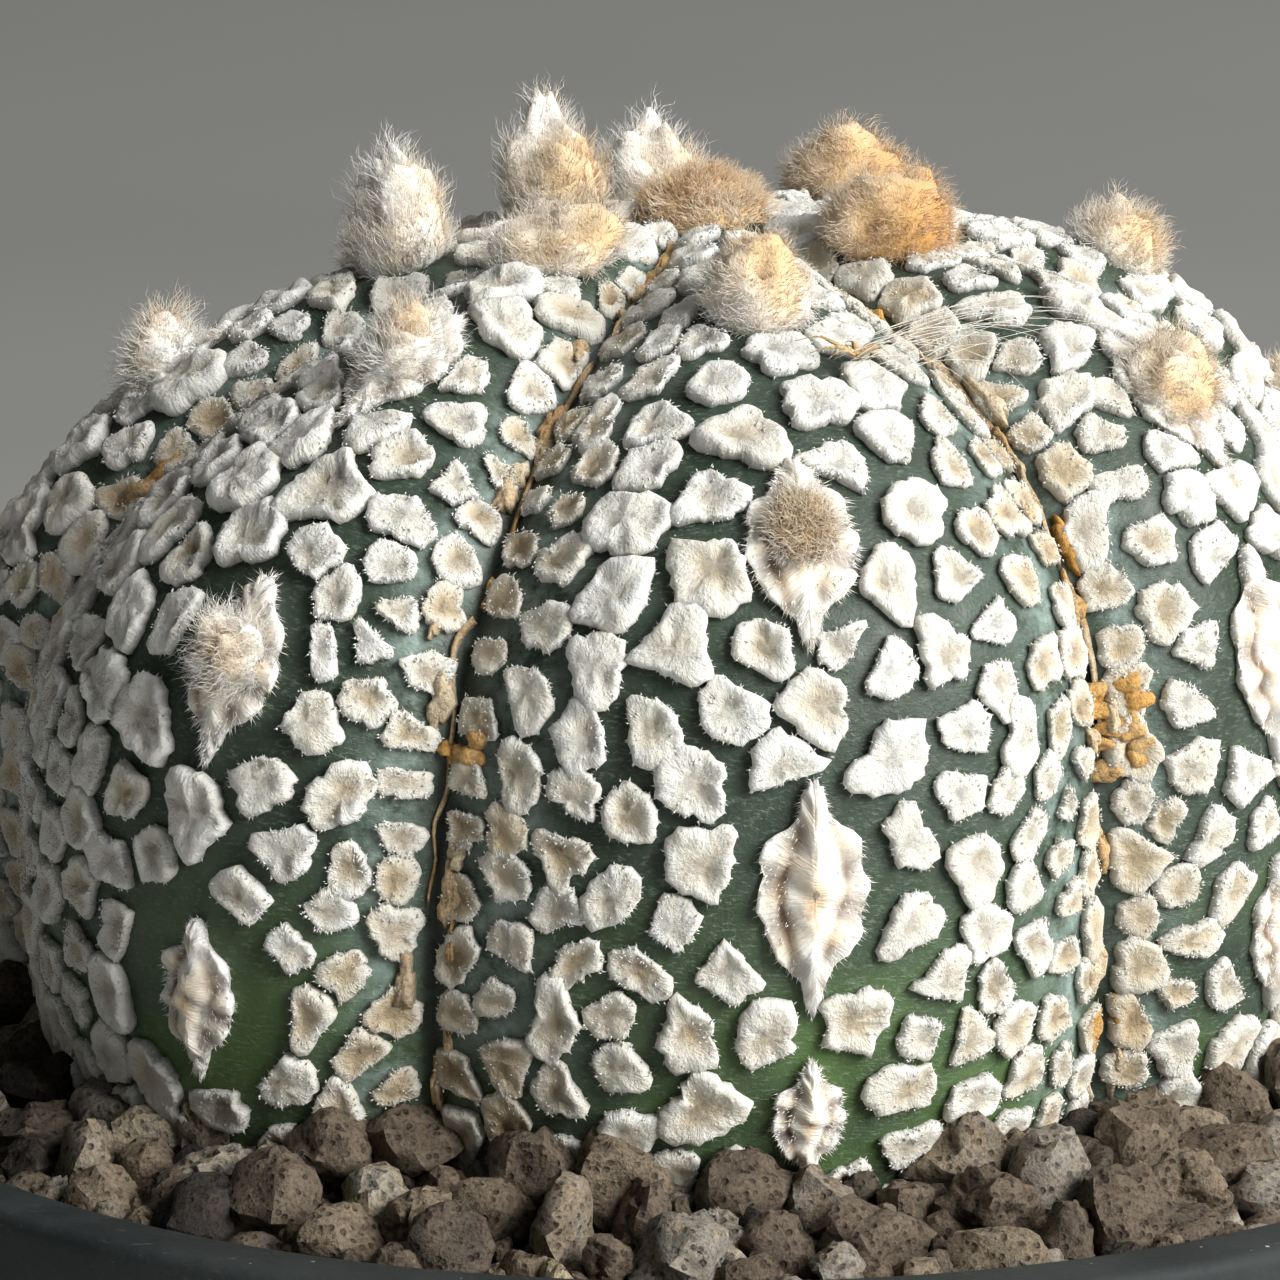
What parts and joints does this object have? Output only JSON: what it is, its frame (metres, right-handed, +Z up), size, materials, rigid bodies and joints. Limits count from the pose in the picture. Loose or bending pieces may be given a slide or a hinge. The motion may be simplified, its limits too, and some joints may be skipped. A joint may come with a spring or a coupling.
{
  "type": "potted star cactus",
  "caption": "Nearly globular ribbed star cactus with white woolly flecks and areole wool, seated in gravelly soil in a round dark plastic pot.",
  "frame": {"origin": "centre of the pot's foot, on the surface it stands on", "axes": "+Z up along the pot's axis; -Y is the side that the plant's front rib faces"},
  "size_m": [0.1, 0.1, 0.1353],
  "materials": {
    "pot_plastic": "dark blue-grey moulded plastic, satin, with dust specks and fine scratches",
    "potting_mix": "matt granular mix of brown grit and fines",
    "stem_skin": "dark green waxy skin with fine dots, pale bloom by the grooves and woolly white flecks",
    "areole_wool": "dense white to golden-brown wool",
    "dried_flower": "thin dry straw-coloured tissue",
    "gravel": "porous brown stones, matt"
  },
  "bodies": {
    "root": {"pot": "pot_plastic", "potting_mix": "potting_mix", "stem": "stem_skin", "crown_wool": "areole_wool", "areole_1_1": "areole_wool", "areole_1_2": "areole_wool", "areole_1_3": "areole_wool", "areole_1_4": "areole_wool", "areole_2_1": "areole_wool", "areole_2_2": "areole_wool", "areole_2_3": "areole_wool", "areole_2_4": "areole_wool", "areole_3_1": "areole_wool", "areole_3_2": "areole_wool", "areole_3_3": "areole_wool", "areole_3_4": "areole_wool", "areole_4_1": "areole_wool", "areole_4_2": "areole_wool", "areole_4_3": "areole_wool", "areole_4_4": "areole_wool", "areole_5_1": "areole_wool", "areole_5_2": "areole_wool", "areole_5_3": "areole_wool", "areole_5_4": "areole_wool", "areole_6_1": "areole_wool", "areole_6_2": "areole_wool", "areole_6_3": "areole_wool", "areole_6_4": "areole_wool", "areole_7_1": "areole_wool", "areole_7_2": "areole_wool", "areole_7_3": "areole_wool", "areole_7_4": "areole_wool", "areole_8_1": "areole_wool", "areole_8_2": "areole_wool", "areole_8_3": "areole_wool", "areole_8_4": "areole_wool", "flower_remnant": "dried_flower", "stone_01": "gravel", "stone_02": "gravel", "stone_03": "gravel", "stone_04": "gravel", "stone_05": "gravel", "stone_06": "gravel", "stone_07": "gravel", "stone_08": "gravel", "stone_09": "gravel", "stone_10": "gravel", "stone_11": "gravel", "stone_12": "gravel", "stone_13": "gravel", "stone_14": "gravel", "stone_15": "gravel", "stone_16": "gravel", "stone_17": "gravel", "stone_18": "gravel", "stone_19": "gravel", "stone_20": "gravel"}
  },
  "joints": []
}
